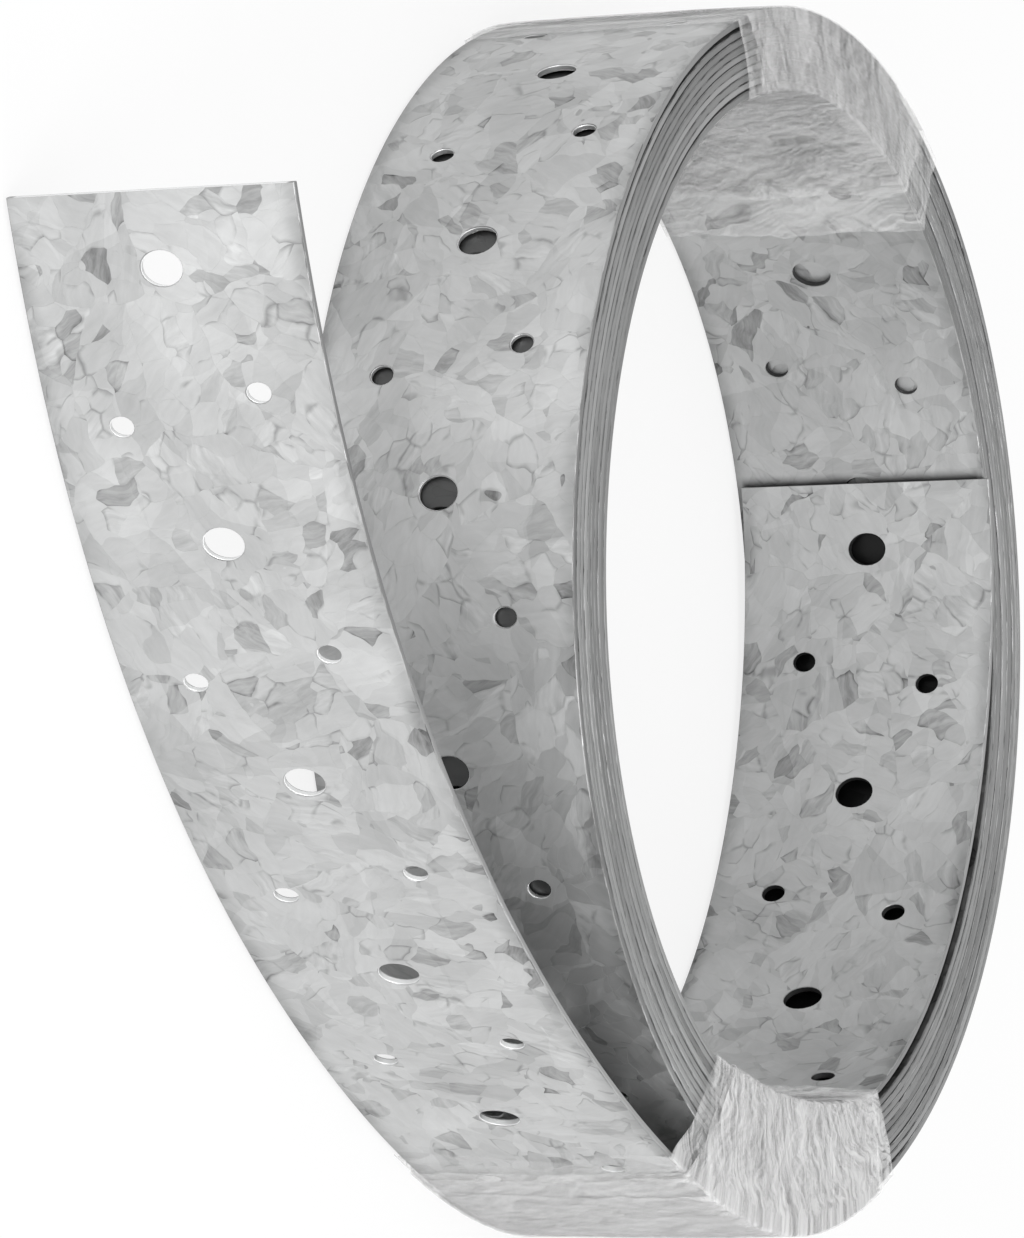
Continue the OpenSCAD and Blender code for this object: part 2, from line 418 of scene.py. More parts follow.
@dataclass(frozen=True)
class FilmFinish:
    """Clear stretch film, whitish where it is gathered and thin at its border on the outer face."""

    name: str
    clear: float
    cloudy: float
    outer_clear: float
    outer_cloudy: float
    border_at: float
    outer_run: float = 0.061
    thin_width: float = 0.0105

    def make(self) -> Material:
        """Builds the see-through material from the film's own coordinates."""
        material, w, shader = new_finish(self.name)
        own = w.add("ShaderNodeUVMap", uv_map=FILM_MAP).outputs["UV"]
        broad = self.drawn(w, own, 0.030, 40.0, 0.16, 150.0, 0.30)
        fine = self.drawn(w, own, 0.020, 64.0, 0.09, 620.0, 0.55)
        crossing = self.drawn(w, own, 0.060, 20.0, 0.14, 420.0, -0.60)
        pull = w.math("MULTIPLY_ADD", fine, 0.40, w.math("MULTIPLY", broad, 0.35))
        pull = w.math("MULTIPLY_ADD", crossing, 0.25, pull)
        ends = w.spread(pull, 0.41, 0.60, self.clear, self.cloudy)
        outer = w.spread(pull, 0.36, 0.66, self.outer_clear, self.outer_cloudy)
        across, round_it, _ = w.parts(own)
        border = math.radians(self.border_at) * COIL_R % 1.0
        thin = w.spread(w.math("FRACT", across), border, border + self.thin_width, 0.25, 1.0)
        outer = w.math("MULTIPLY", outer, thin)
        on_outer = w.spread(round_it, self.outer_run - 0.006, self.outer_run, 1.0, 0.0)
        w.set_socket(shader.inputs["Alpha"], w.mix(on_outer, ends, outer))
        grey = w.spread(fine, 0.30, 0.70, 0.88, 0.97)
        colour = w.add("ShaderNodeCombineColor", {0: grey, 1: grey, 2: grey})
        w.set_socket(shader.inputs["Base Color"], colour.outputs[0])
        w.set_socket(shader.inputs["Roughness"], w.spread(broad, 0.3, 0.7, 0.22, 0.42))
        bump = w.add("ShaderNodeBump", {"Strength": 0.5, "Distance": 0.0003, "Height": pull})
        w.set_socket(shader.inputs["Normal"], bump.outputs["Normal"])
        return material

    def drawn(
        self, w: Wiring, own: Socket, sway: float, bends: float, pulled: float, scale: float, lean: float
    ) -> Socket:
        """Streaks that are drawn out round the section and sway as they go.

        Args:
            w: wiring of the tree.
            own: the film's coordinates.
            sway: how far a streak wanders, in metres.
            bends: how many times it turns in a metre.
            pulled: how much it is drawn out, below 1.
            scale: streaks in a metre.
            lean: how far it slants along the coil for its length.

        Returns:
            Socket with the pattern.
        """
        across, round_it, _ = w.parts(own)
        turn = w.math("SUBTRACT", w.noise(own, bends, 2.0), 0.5)
        across = w.math("MULTIPLY_ADD", round_it, lean, across)
        across = w.math("MULTIPLY_ADD", turn, sway, across)
        place = w.joined(across, w.math("MULTIPLY", round_it, pulled), sway * 40.0)
        return w.noise(place, scale, 4.0, 0.6)


@dataclass
class CoilPath:
    """Middle line of the strap from the tip of its tail to its inner end, in metres and degrees."""

    root_r: float = 0.1279
    thick: float = 0.0015
    turns: int = 10
    tail_r: float = 0.286
    tail_len: float = 0.326
    inner_span: float = 114.0
    inner_spring: float = 0.0046
    inner_lean: float = 1.6
    inner_end_gap: float = 0.0004
    inner_rise: float = 0.0018
    mid_z: float = 0.0305
    snug_gap: float = 0.00006
    slack_gap: float = 0.0009
    outer_gap: float = 0.0007
    edge_drift: float = 0.0003
    sag: float = 0.0060
    sag_at: float = -97.0
    sag_before: float = 32.0
    sag_after: float = 23.0
    slack_run: float = 0.25
    step: float = 1.5
    radii: list[float] = field(default_factory=list)

    def __post_init__(self) -> None:
        """Works out the radius of each turn from the turn outside it."""
        per_turn = round(FULL_TURN / self.step)
        last = per_turn * self.turns
        drop = self.thick + self.turn_gap(0.0)
        for i in range(last + round(self.inner_span / self.step) + 1):
            wound = i * self.step
            if i <= per_turn:
                radius = self.root_r - self.thick / 2 - drop * i / per_turn
            else:
                radius = self.radii[i - per_turn] - self.thick - self.turn_gap(wound - FULL_TURN)
            if i > last:
                radius -= self.sprung(wound - FULL_TURN * self.turns)
            self.radii.append(radius)

    def turn_gap(self, wound: float) -> float:
        """Gap under a turn, which opens and closes as it goes round."""
        wave = noise.noise(Vector((wound / 95.0, 3.7, 1.3)))
        outermost = math.sin(math.pi * min(wound / 400.0, 1.0)) ** 2
        return self.snug_gap + self.slack_gap * max(0.0, wave) ** 1.4 + self.outer_gap * outermost

    def sprung(self, angle: float) -> float:
        """How far the loose inner end stands off the turns at an angle from its root."""
        share = angle / self.inner_span
        bow = math.sin(math.pi * share**self.inner_lean)
        return self.inner_end_gap * share + self.inner_spring * bow

    def radius(self, wound: float) -> float:
        """Middle radius at a wound angle, between the worked-out steps."""
        place = min(max(wound / self.step, 0.0), len(self.radii) - 1.001)
        low = int(place)
        return self.radii[low] + (self.radii[low + 1] - self.radii[low]) * (place - low)

    def tail_centre(self) -> Vector:
        """Centre of the tail's bend."""
        return Vector((0.0, self.tail_r - self.root_r, 0.0))

    def points(self) -> list[Vector]:
        """Points of the line, from the tip of the tail inwards."""
        middle_r = self.tail_r - self.thick / 2
        sweep = math.degrees(self.tail_len / middle_r)
        count = round(sweep)
        line = []
        for i in range(count):
            angle = math.radians(-90.0 - sweep + sweep * i / count)
            line.append(self.tail_centre() + Vector((math.cos(angle), math.sin(angle), 0.0)) * middle_r)
        for i, radius in enumerate(self.radii):
            angle = math.radians(-90.0 + i * self.step)
            line.append(Vector((math.cos(angle) * radius, math.sin(angle) * radius, 0.0)))
        for i, point in enumerate(line):
            wound = (i - count) * self.step
            drift = noise.noise(Vector((wound / 130.0, 9.1, 4.2))) * self.edge_drift
            loose = max(0.0, (wound - FULL_TURN * self.turns) / self.inner_span)
            point.z = self.mid_z + drift + self.inner_rise * loose**2
        return line

    def length_to(self, wound: float) -> float:
        """Length of strap from the tip of the tail to a wound angle."""
        turned = self.tail_len
        for i in range(round(wound / self.step)):
            turned += math.radians(self.step) * (self.radii[i] + self.radii[i + 1]) / 2
        return turned

    def hang(self, angle: float | np.ndarray) -> float | np.ndarray:
        """How far the outermost turn hangs off the next one at a polar angle, most near the tail's root."""
        off = angle - self.sag_at
        return self.sag * np.exp(-((off / np.where(off < 0.0, self.sag_before, self.sag_after)) ** 2))

    def outer_face(self, angle: float) -> float:
        """Radius of the outermost face at a polar angle, on the tail before its root."""
        if angle >= -90.0:
            return self.radius(angle + 90.0) + self.thick / 2 + self.hang(angle)
        rise = self.tail_centre().y * math.sin(math.radians(angle))
        return rise + math.sqrt(rise**2 - self.tail_centre().y ** 2 + self.tail_r**2) + self.hang(angle)

    def bore_face(self, angle: float) -> float:
        """Radius of the innermost face at a polar angle."""
        wound = (angle + 90.0) % FULL_TURN
        whole = FULL_TURN * (self.turns if wound <= self.inner_span else self.turns - 1)
        return self.radius(whole + wound) - self.thick / 2


@dataclass
class PunchedStrap:
    """The steel strap: one pitch of its punching, repeated and wound along the path."""

    path: CoilPath
    width: float = 0.060
    thick: float = 0.0015
    bolt_d: float = 0.0085
    nail_d: float = 0.005
    pitch: float = 0.0564
    row_gap: float = 0.030
    stagger: float = 0.0057
    tip_margin: float = 0.015
    inner_margin: float = 0.015
    hole_short: float = 0.82
    edge_round: float = 0.00028
    hole_round: float = 0.00028
    breakout: float = 0.0002
    bolt_sides: int = 24
    nail_sides: int = 18
    lengthways: int = 14
    crossways: int = 6

    def holes(self) -> list[tuple[Vector, float, int]]:
        """Centre, radius and side count of each hole in one pitch, from its bolt hole."""
        half = self.pitch / 2
        return [
            (Vector((0.0, 0.0)), self.bolt_d / 2, self.bolt_sides),
            (Vector((half - self.stagger / 2, self.row_gap / 2)), self.nail_d / 2, self.nail_sides),
            (Vector((half + self.stagger / 2, -self.row_gap / 2)), self.nail_d / 2, self.nail_sides),
        ]

    def rim_spot(self, share: float, radius: float) -> Vector:
        """Point of a hole's rim from its middle: the hole is a little shorter along the strap than across."""
        angle = math.tau * share
        return Vector((math.cos(angle) * self.hole_short, math.sin(angle))) * radius

    def tile(self, name: str, start: float, end: float, columns: int) -> Object:
        """Makes one flat stretch of strap, open at both ends.

        Args:
            name: name of the object.
            start: where it starts, from its bolt hole.
            end: where it ends.
            columns: how many spans it has along its length.

        Returns:
            The mesh object, with length on x from 0, thickness on y and width on z.
        """
        holes = [h for h in self.holes() if h[0].x + h[1] < end]
        half_w, half_t = self.width / 2 - self.edge_round, self.thick / 2
        points: list[Vector] = []
        for i in range(columns + 1):
            for j in range(self.crossways + 1):
                place = Vector((start + (end - start) * i / columns, half_w * (2 * j / self.crossways - 1)))
                rim = i in (0, columns) or j in (0, self.crossways)
                if rim or all((place - c).length > r + 0.0018 for c, r, _ in holes):
                    points.append(place)
        rings: list[list[int]] = []
        lines: list[tuple[int, int]] = []
        for centre, radius, sides in holes:
            ring = list(range(len(points), len(points) + sides))
            for i in ring:
                points.append(centre + self.rim_spot((i - ring[0]) / sides, radius + self.hole_round))
            lines += list(zip(ring, ring[1:] + ring[:1]))
            rings.append(ring)
        flat, _, faces, *_ = delaunay_2d_cdt(points, lines, [], 0, 1e-7)
        bm = bmesh.new()
        sheets = [[bm.verts.new((p.x - start, level, p.y)) for p in flat] for level in (half_t, -half_t)]
        for face in faces:
            if not any(set(face) <= set(ring) for ring in rings):
                bm.faces.new([sheets[0][i] for i in face])
                bm.faces.new([sheets[1][i] for i in reversed(face)])
        for (centre, radius, sides), ring in zip(holes, rings):
            self.hole_wall(bm, sheets, ring, centre - Vector((start, 0.0)), radius)
        self.slit_edges(bm, sheets, flat, half_w)
        bmesh.ops.recalc_face_normals(bm, faces=bm.faces)
        mesh = bpy.data.meshes.new(name)
        bm.to_mesh(mesh)
        bm.free()
        return put(name, mesh)

    def hole_wall(
        self, bm: BMesh, sheets: list[Verts], ring: list[int], centre: Vector, radius: float
    ) -> None:
        """Joins the rims of a hole on both faces with a wall and its eased edges.

        Args:
            bm: mesh to add to.
            sheets: points of the outer and inner face.
            ring: numbers of the hole's points.
            centre: middle of the hole on the tile.
            radius: radius of the hole.
        """
        level = self.thick / 2 - self.hole_round
        rows = [[sheets[0][i] for i in ring]]
        for depth, wider in ((level, 0.0), (-level, self.breakout)):
            row = []
            for i in range(len(ring)):
                spot = centre + self.rim_spot(i / len(ring), radius + wider)
                row.append(bm.verts.new((spot.x, depth, spot.y)))
            rows.append(row)
        rows.append([sheets[1][i] for i in ring])
        bridge(bm, rows, closed=True)

    def slit_edges(
        self, bm: BMesh, sheets: list[Verts], flat: list[Vector], half_w: float
    ) -> None:
        """Closes the two long edges with eased corners.

        Args:
            bm: mesh to add to.
            sheets: points of the outer and inner face.
            flat: flat points, in the same order.
            half_w: half the width of the flat faces.
        """
        level = self.thick / 2 - self.edge_round
        for side in (1.0, -1.0):
            rim = sorted((p.x, i) for i, p in enumerate(flat) if abs(p.y - side * half_w) < 1e-7)
            rows = [[sheets[0][i] for _, i in rim]]
            for depth in (level, -level):
                rows.append(
                    [bm.verts.new((sheets[0][i].co.x, depth, side * self.width / 2)) for _, i in rim]
                )
            rows.append([sheets[1][i] for _, i in rim])
            bridge(bm, rows, closed=False)

    def path_curve(self) -> Object:
        """Lays the path down as a curve object."""
        curve = bpy.data.curves.new("strap_path", "CURVE")
        curve.dimensions = "3D"
        line = self.path.points()
        spline = curve.splines.new("POLY")
        spline.points.add(len(line) - 1)
        for spot, point in zip(spline.points, line):
            spot.co = (*point, 1.0)
        return put("strap_path", curve)

    def winding_tree(self) -> bpy.types.GeometryNodeTree:
        """Builds the node tree that repeats the tile and winds it along the path."""
        tree = bpy.data.node_groups.new("wound_strap", "GeometryNodeTree")
        face = tree.interface
        face.new_socket("Geometry", in_out="INPUT", socket_type="NodeSocketGeometry")
        for name, kind in (
            ("Path", "NodeSocketObject"),
            ("End tile", "NodeSocketObject"),
            ("Pitch", "NodeSocketFloat"),
            ("Tiles", "NodeSocketInt"),
            ("Flat length", "NodeSocketFloat"),
            ("Finish", "NodeSocketMaterial"),
        ):
            face.new_socket(name, in_out="INPUT", socket_type=kind)
        face.new_socket("Geometry", in_out="OUTPUT", socket_type="NodeSocketGeometry")
        w = Wiring(tree)
        given = w.add("NodeGroupInput").outputs
        row = w.add(
            "GeometryNodeMeshLine",
            {"Count": given["Tiles"], "Offset": w.joined(given["Pitch"], 0.0, 0.0)},
        )
        many = w.add(
            "GeometryNodeInstanceOnPoints", {"Points": row.outputs[0], "Instance": given["Geometry"]}
        )
        end = w.add("GeometryNodeObjectInfo", {"Object": given["End tile"]})
        reach = w.math("MULTIPLY", given["Pitch"], given["Tiles"])
        moved = w.add(
            "GeometryNodeTransform",
            {"Geometry": end.outputs["Geometry"], "Translation": w.joined(reach, 0.0, 0.0)},
        )
        both = w.add("GeometryNodeJoinGeometry", {0: many.outputs[0]})
        tree.links.new(moved.outputs[0], both.inputs[0])
        real = w.add("GeometryNodeRealizeInstances", {"Geometry": both.outputs[0]})
        weld = w.add("GeometryNodeMergeByDistance", {"Geometry": real.outputs[0], "Distance": 0.00001})
        spot = w.add("GeometryNodeInputPosition").outputs[0]
        keep = w.stored(weld.outputs[0], FLAT_MAP, spot)
        along, depth, across = w.parts(spot)
        line = w.add("GeometryNodeObjectInfo", {"Object": given["Path"]})
        on_path = w.add(
            "GeometryNodeSampleCurve",
            {"Curves": line.outputs["Geometry"], "Factor": w.math("DIVIDE", along, given["Flat length"])},
            mode="FACTOR",
        )
        facing = w.vector("NORMALIZE", w.vector("CROSS_PRODUCT", on_path.outputs["Tangent"], tuple(UP)))
        bent = w.vector("ADD", on_path.outputs["Position"], w.scaled(facing, depth))
        bent = w.vector("ADD", bent, w.joined(0.0, 0.0, across))
        aimed = w.stored(keep, FACING, facing)
        wound = w.add("GeometryNodeSetPosition", {"Geometry": aimed, "Position": bent})
        soft = w.add("GeometryNodeSetShadeSmooth", {"Geometry": wound.outputs[0], "Shade Smooth": True})
        whole = w.add("GeometryNodeRealizeInstances", {"Geometry": soft.outputs[0]})
        coat = w.add("GeometryNodeSetMaterial", {"Geometry": whole.outputs[0], "Material": given["Finish"]})
        w.add("NodeGroupOutput", {0: coat.outputs[0]})
        return tree

    def make(self, finish: Material) -> Object:
        """Winds the strap and turns it into one plain, closed mesh.

        Args:
            finish: its material.

        Returns:
            The strap's object.
        """
        curve = self.path_curve()
        length = curve.data.splines[0].calc_length()
        pitches = round((length - self.tip_margin - self.inner_margin) / self.pitch)
        tile = self.tile("strap_pitch", -self.tip_margin, self.pitch - self.tip_margin, self.lengthways)
        end = self.tile("strap_end", -self.tip_margin, self.inner_margin, self.lengthways // 2)
        tree = self.winding_tree()
        values = {
            "Path": curve,
            "End tile": end,
            "Pitch": self.pitch,
            "Tiles": pitches,
            "Flat length": self.tip_margin + self.inner_margin + self.pitch * pitches,
            "Finish": finish,
        }
        winding = tile.modifiers.new("winding", "NODES")
        winding.node_group = tree
        for item in tree.interface.items_tree:
            if item.in_out == "INPUT" and item.name in values:
                winding[item.identifier] = values[item.name]
        ready = tile.evaluated_get(bpy.context.evaluated_depsgraph_get())
        mesh = bpy.data.meshes.new_from_object(ready)
        mesh.name = "steel_strap"
        for spare in (tile, end, curve):
            bpy.data.objects.remove(spare)
        self.let_down(mesh)
        self.close_ends(mesh)
        return put("steel_strap", mesh)

    def let_down(self, mesh: Mesh) -> None:
        """Lets the slack start of the outermost turn hang off the coil, with the root of the tail."""
        along = vectors(mesh.attributes[FLAT_MAP].data, "vector")[:, 0]
        spots = vectors(mesh.vertices, "co")
        drop = self.path.hang(np.degrees(np.arctan2(spots[:, 1], spots[:, 0])))
        drop[along > self.path.tail_len + self.path.slack_run] = 0.0
        spots[:, :2] *= 1.0 + (drop / np.linalg.norm(spots[:, :2], axis=1))[:, None]
        mesh.vertices.foreach_set("co", spots.ravel())

    def close_ends(self, mesh: Mesh) -> None:
        """Fills the two square-cut ends and keeps the edges crisp."""
        bm = bmesh.new()
        bm.from_mesh(mesh)
        open_edges = [e for e in bm.edges if e.is_boundary]
        bmesh.ops.holes_fill(bm, edges=open_edges, sides=0)
        bmesh.ops.recalc_face_normals(bm, faces=bm.faces)
        bm.to_mesh(mesh)
        bm.free()
        mesh.set_sharp_from_angle(angle=math.radians(38.0))
        self.true_normals(mesh)

    def true_normals(self, mesh: Mesh) -> None:
        """Gives the two broad faces the bend's own normals, so that the holes leave no dimples."""
        corners, faces = len(mesh.loops), len(mesh.polygons)
        level = vectors(mesh.attributes[FLAT_MAP].data, "vector")[:, 1]
        facing = vectors(mesh.attributes[FACING].data, "vector")
        normal = vectors(mesh.corner_normals, "vector")
        point, size = np.empty(corners, np.int32), np.empty(faces, np.int32)
        mesh.loops.foreach_get("vertex_index", point)
        mesh.polygons.foreach_get("loop_total", size)
        owner = np.repeat(np.arange(faces), size)
        for side in (1.0, -1.0):
            broad = np.ones(faces, bool)
            off = np.abs(level[point] - side * self.thick / 2) > 1e-5
            broad[owner[off]] = False
            mine = broad[owner]
            normal[mine] = facing[point[mine]] * side
        mesh.normals_split_custom_set(normal)


@dataclass(frozen=True)
class FilmLayer:
    """One layer of a film wrap: how far it lies off the steel and where it stops short."""

    lift: float
    start_in: float
    end_in: float
    slant: float
    seed: float


@dataclass
class FilmWrap:
    """Stretch film drawn round the wound section over a stretch of the coil."""

    name: str
    node: str
    path: CoilPath
    starts: Corners
    ends: Corners
    layers: tuple[FilmLayer, ...]
    flat: tuple[float, float]
    finish: FilmFinish
    bridged: float = 0.0
    top_z: float = 0.0609
    under_z: float = 0.0001
    thick: float = 0.00006
    crease: float = 0.0004
    column: float = 0.0008
    face_rows: int = 22
    end_rows: int = 9
    corner_rows: int = 3
    tight: float = 0.3
    floor_gap: float = 0.00002

    def section(self) -> list[tuple[float, float, float, float, float]]:
        """Rows round the section: share inwards, share upwards, facing in radius and height, slackness."""
        rows = []
        ends = {
            Side.OUTER: ((0.0, 0.0), (0.0, 1.0), (1.0, 0.0)),
            Side.TOP: ((0.0, 1.0), (1.0, 1.0), (0.0, 1.0)),
            Side.BORE: ((1.0, 1.0), (1.0, 0.0), (-1.0, 0.0)),
            Side.UNDER: ((1.0, 0.0), (0.0, 0.0), (0.0, -1.0)),
        }
        for side, (first, last, facing) in ends.items():
            count = self.face_rows if side in (Side.OUTER, Side.BORE) else self.end_rows
            for i in range(count + 1):
                share = i / count
                place = [a + (b - a) * share for a, b in zip(first, last)]
                slack = self.tight + (1.0 - self.tight) * math.sin(math.pi * share)
                rows.append((*place, *facing, slack))
            after = ends[Side((side.value + 1) % len(Side))][2]
            for i in range(1, self.corner_rows):
                turn = math.pi / 2 * i / self.corner_rows
                aim = [a * math.cos(turn) + b * math.sin(turn) for a, b in zip(facing, after)]
                rows.append((*last, *aim, self.tight))
        return rows

    def border(self, corners: Corners, row: tuple[float, ...]) -> float:
        """Polar angle of a border at a row, from its angles at the section's four corners.

        Args:
            corners: angles at the outer foot, outer top, bore top and bore foot.
            row: row of the section.

        Returns:
            The angle in degrees.
        """
        inward, upward = row[:2]
        outer = corners[0] + (corners[1] - corners[0]) * upward
        bore = corners[3] + (corners[2] - corners[3]) * upward
        return outer + (bore - outer) * inward

    def ragged(self, layer: FilmLayer, row: tuple[float, ...], run: float, draw: float) -> float:
        """Lean and unevenness of a layer's border at a row.

        Args:
            layer: layer of the wrap.
            row: row of the section.
            run: length round the section.
            draw: which draw of the noise to take.

        Returns:
            The shift in degrees.
        """
        wave = noise.noise(Vector((run / 0.02, layer.seed, draw)))
        ruff = noise.noise(Vector((run / 0.004, layer.seed, draw + 4.0)))
        return layer.slant * row[0] + 1.4 * wave + 0.5 * ruff

    def chord(self, angle: float) -> float:
        """Radius at a polar angle of the straight line across the bore between the wrap's borders."""
        middle = (self.starts[2] + self.ends[2]) / 2
        half = (self.ends[2] - self.starts[2]) / 2
        reach = self.path.bore_face(middle) * math.cos(math.radians(half))
        return min(self.path.bore_face(angle), reach / math.cos(math.radians(angle - middle)))

    def spot(self, layer: FilmLayer, angle: float, row: tuple[float, ...], run: float, sink: float) -> Vector:
        """Place of one point of the film.

        Args:
            layer: layer of the wrap.
            angle: polar angle in degrees.
            row: row of the section.
            run: length round the section.
            sink: depth below the layer's outer skin.

        Returns:
            The point.
        """
        inward, upward, out, high, slack = row
        outer, bore = self.path.outer_face(angle), self.path.bore_face(angle)
        bore += self.bridged * (self.chord(angle) - bore)
        radius = outer + (bore - outer) * inward
        height = self.under_z + (self.top_z - self.under_z) * upward
        travel = math.radians(angle) * COIL_R
        sway = noise.noise(Vector((travel / 0.025, run / 0.03, layer.seed))) * 0.009
        fold = noise.noise(Vector(((travel + sway) / 0.0050, run / 0.05, layer.seed + 7.0)))
        fine = noise.noise(Vector(((travel + sway) / 0.0018, run / 0.03, layer.seed + 3.0)))
        ridge = (1.0 - abs(fold)) ** 3 + 0.4 * max(0.0, fine)
        lift = layer.lift + self.crease * ridge * slack - sink
        radius += out * lift
        height = max(height + high * lift, self.floor_gap)
        turn = math.radians(angle)
        return Vector((math.cos(turn) * radius, math.sin(turn) * radius, height))

    def make(self) -> Object:
        """Builds the layers as thin closed sleeves in one mesh, and returns the wrap's object."""
        bm = bmesh.new()
        own = bm.loops.layers.uv.new(FILM_MAP)
        for layer in self.layers:
            self.add_layer(bm, own, layer)
        bmesh.ops.recalc_face_normals(bm, faces=bm.faces)
        mesh = bpy.data.meshes.new(self.name)
        bm.to_mesh(mesh)
        bm.free()
        mesh.materials.append(self.finish.make())
        mesh.shade_smooth()
        return put(self.name, mesh)

    def add_layer(self, bm: BMesh, own: bmesh.types.BMLayerItem, layer: FilmLayer) -> None:
        """Adds one sleeve: an outer skin, an inner skin and the two rims between them.

        Args:
            bm: mesh to add to.
            own: its map of the film's coordinates.
            layer: layer to build.
        """
        rows = self.section()
        reach = math.radians(max(self.ends) - min(self.starts)) * COIL_R
        columns = max(8, round(reach / self.column))
        skins: list[list[Verts]] = []
        flats: list[list[tuple[float, float]]] = []
        for sink in (0.0, self.thick):
            skin, run, before = [], 0.0, None
            for row in rows:
                first = self.border(self.starts, row) + layer.start_in + self.ragged(layer, row, run, 1.0)
                last = self.border(self.ends, row) - layer.end_in + self.ragged(layer, row, run, 11.0)
                angles = [first + (last - first) * i / columns for i in range(columns + 1)]
                line = [self.spot(layer, angle, row, run, sink) for angle in angles]
                skin.append([bm.verts.new(p) for p in line])
                if sink == 0.0:
                    flats.append([(math.radians(a) * COIL_R + layer.seed, run) for a in angles])
                middle = line[columns // 2]
                run += (middle - before).length if before is not None else 0.0
                before = middle
            skins.append(skin)
        total = len(rows)
        for which, skin in enumerate(skins):
            for j in range(total):
                k = (j + 1) % total
                for i in range(columns):
                    corners = [(j, i), (j, i + 1), (k, i + 1), (k, i)]
                    if which:
                        corners.reverse()
                    made = bm.faces.new([skin[a][b] for a, b in corners])
                    for loop, (a, b) in zip(made.loops, corners):
                        loop[own].uv = flats[a][b]
        for j in range(total):
            k = (j + 1) % total
            for i in (0, columns):
                made = bm.faces.new((skins[0][j][i], skins[0][k][i], skins[1][k][i], skins[1][j][i]))
                for loop in made.loops:
                    loop[own].uv = flats[j][i]


@dataclass(frozen=True)
class Studio:
    """Pale floor, soft lamps and the camera of the photograph's view."""

    floor_half: float = 6.0
    lit_point: tuple[float, float, float] = (0.0, 0.0, 0.03)
    lens: float = 238.4
    sensor: float = 36.0
    distance: float = 1.75774
    shift_right: float = -0.037091
    shift_up: float = -0.00167
    turn: float = 5.0
    centre: tuple[float, float, float] = (0.0021, 0.0, 0.0305)
    back: tuple[float, float, float] = (-0.91146, -0.06934, 0.40551)
    right: tuple[float, float, float] = (0.40650, 0.0, 0.91365)

    def camera(self) -> Object:
        """Makes the camera and gives it to the scene."""
        back = Vector(self.back).normalized()
        right = Vector(self.right)
        right = (right - back * right.dot(back)).normalized()
        up = back.cross(right)
        place = Vector(self.centre) + back * self.distance + right * self.shift_right + up * self.shift_up
        turned = Matrix.Rotation(math.radians(self.turn), 4, "Z")
        aim = Matrix((right, up, back)).transposed().to_4x4()
        data = bpy.data.cameras.new("camera")
        data.lens = self.lens
        data.sensor_width = self.sensor
        data.dof.use_dof = False
        made = put("camera", data)
        made.matrix_world = turned @ Matrix.Translation(place) @ aim
        bpy.context.scene.camera = made
        return made

    def backdrop(self, w: Wiring, lit: float, mirrored: float) -> Socket:
        """Strength of a backdrop for each kind of ray.

        Args:
            w: wiring of the tree.
            lit: strength for the light on the object.
            mirrored: strength for reflections.

        Returns:
            Socket that is 1 for camera and transmission rays.
        """
        ray = w.add("ShaderNodeLightPath").outputs
        seen = w.math("MAXIMUM", ray["Is Camera Ray"], ray["Is Transmission Ray"])
        return w.mix(seen, w.mix(ray["Is Glossy Ray"], lit, mirrored), 1.0)

    def world(self) -> None:
        """White backdrop, with an even, milder light on the object."""
        made = bpy.data.worlds.new("studio")
        made.use_nodes = True
        w = Wiring(made.node_tree)
        sky = made.node_tree.nodes["Background"]
        sky.inputs["Color"].default_value = (1.0, 1.0, 1.0, 1.0)
        w.set_socket(sky.inputs["Strength"], self.backdrop(w, 0.81, 0.82))
        bpy.context.scene.world = made

    def floor(self) -> Object:
        """Pale floor that keeps the coil's shadow."""
        mesh = bpy.data.meshes.new("floor")
        half = self.floor_half
        corners = [(-half, -half, 0), (half, -half, 0), (half, half, 0), (-half, half, 0)]
        mesh.from_pydata(corners, [], [(0, 1, 2, 3)])
        material, w, shader = new_finish("pale_floor")
        shader.inputs["Base Color"].default_value = (0.86, 0.86, 0.86, 1.0)
        shader.inputs["Roughness"].default_value = 0.9
        shader.inputs["Specular IOR Level"].default_value = 0.1
        glow = w.add("ShaderNodeEmission")
        share = w.math("MULTIPLY", self.backdrop(w, 0.0, 0.40), 0.80)
        both = w.add("ShaderNodeMixShader", {0: share, 1: shader.outputs[0], 2: glow.outputs[0]})
        out = material.node_tree.nodes["Material Output"]
        w.set_socket(out.inputs["Surface"], both.outputs[0])
        mesh.materials.append(material)
        made = put("floor", mesh)
        return made

    def lamp(self, name: str, place: tuple[float, float, float], size: float, power: float) -> None:
        """Hangs a square soft lamp that faces the coil.

        Args:
            name: lamp's name.
            place: where it hangs, in metres.
            size: its side.
            power: its power in watts.
        """
        data = bpy.data.lights.new(name, "AREA")
        data.size = size
        data.energy = power
        made = put(name, data)
        made.location = place
        aim = Vector(self.lit_point) - Vector(place)
        made.rotation_euler = aim.to_track_quat("-Z", "Y").to_euler()

    def lamps(self) -> None:
        """Hangs the lamps."""
        self.lamp("key", (-1.5, -1.0, 0.55), 0.8, 13.0)
        self.lamp("fill", (-1.9, 0.30, 0.45), 0.8, 12.5)
        self.lamp("low", (0.4, -1.6, 0.7), 0.8, 6.5)
        self.lamp("top", (-0.4, -0.3, 1.8), 1.2, 5.0)


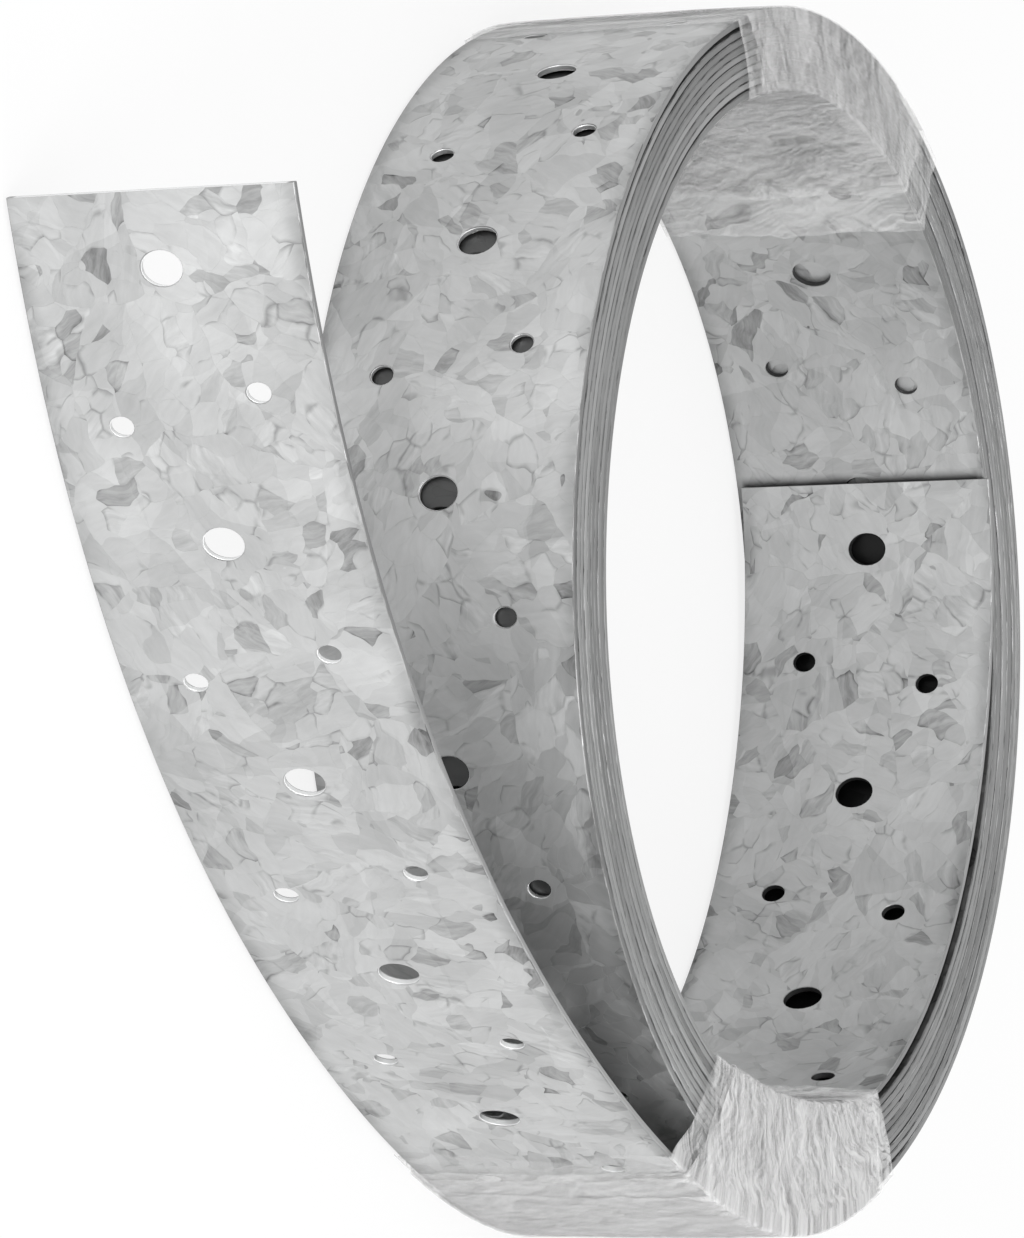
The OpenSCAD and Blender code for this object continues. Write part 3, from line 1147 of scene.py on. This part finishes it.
def main() -> None:
    """Builds the coil, its wraps and the studio."""
    logging.basicConfig(level=logging.INFO, format="%(name)s: %(message)s")
    bpy.context.scene.view_settings.view_transform = "Standard"
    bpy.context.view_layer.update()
    studio = Studio()
    studio.camera()
    studio.world()
    studio.floor()
    studio.lamps()
    path = CoilPath()
    last_turn = FULL_TURN * (path.turns - 1)
    band = PunchedStrap(path)
    zinc = ZincFinish(
        half_thick=band.thick / 2,
        half_width=band.width / 2,
        outer_end=path.length_to(FULL_TURN),
        under_start=path.length_to(last_turn),
        under_end=path.length_to(last_turn + path.inner_span),
    )
    strap = band.make(zinc.make())
    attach(strap, BODY)
    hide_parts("strap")
    LOG.info("%s: %d faces", strap.name, len(strap.data.polygons))
    wraps = (
        FilmWrap(
            "film_upper",
            "film_wrap_upper",
            path,
            starts=(60.0, 60.0, 58.0, 59.0),
            ends=(116.0, 114.4, 114.0, 115.0),
            layers=(
                FilmLayer(0.00025, 0.0, 0.0, 0.0, 1.0),
                FilmLayer(0.00045, 4.0, 7.0, 3.0, 2.0),
                FilmLayer(0.00065, 12.0, 2.0, -3.0, 3.0),
            ),
            flat=(0.100, 0.46),
            finish=FilmFinish(
                "clear_stretch_film", 0.065, 0.225, outer_clear=0.075, outer_cloudy=0.215,
                border_at=60.0,
            ),
        ),
        FilmWrap(
            "film_lower",
            "film_wrap_lower",
            path,
            starts=(-119.0, -119.0, -114.0, -104.0),
            ends=(-62.0, -64.5, -65.5, -63.0),
            layers=(
                FilmLayer(0.00025, 0.0, 0.0, 0.0, 4.0),
                FilmLayer(0.00045, 5.0, 3.0, -2.0, 5.0),
                FilmLayer(0.00065, 9.0, 7.0, 3.0, 6.0),
                FilmLayer(0.00085, 3.0, 4.0, 2.0, 8.0),
            ),
            flat=(0.100, 0.66),
            finish=FilmFinish(
                "gathered_stretch_film", 0.06, 0.37, outer_clear=0.085, outer_cloudy=0.235,
                border_at=-119.0,
            ),
            bridged=0.45,
        ),
    )
    for wrap in wraps:
        piece = wrap.make()
        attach(piece, BODY)
        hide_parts(wrap.node)
        LOG.info("%s: %d faces", piece.name, len(piece.data.polygons))


if __name__ == "__main__":
    main()
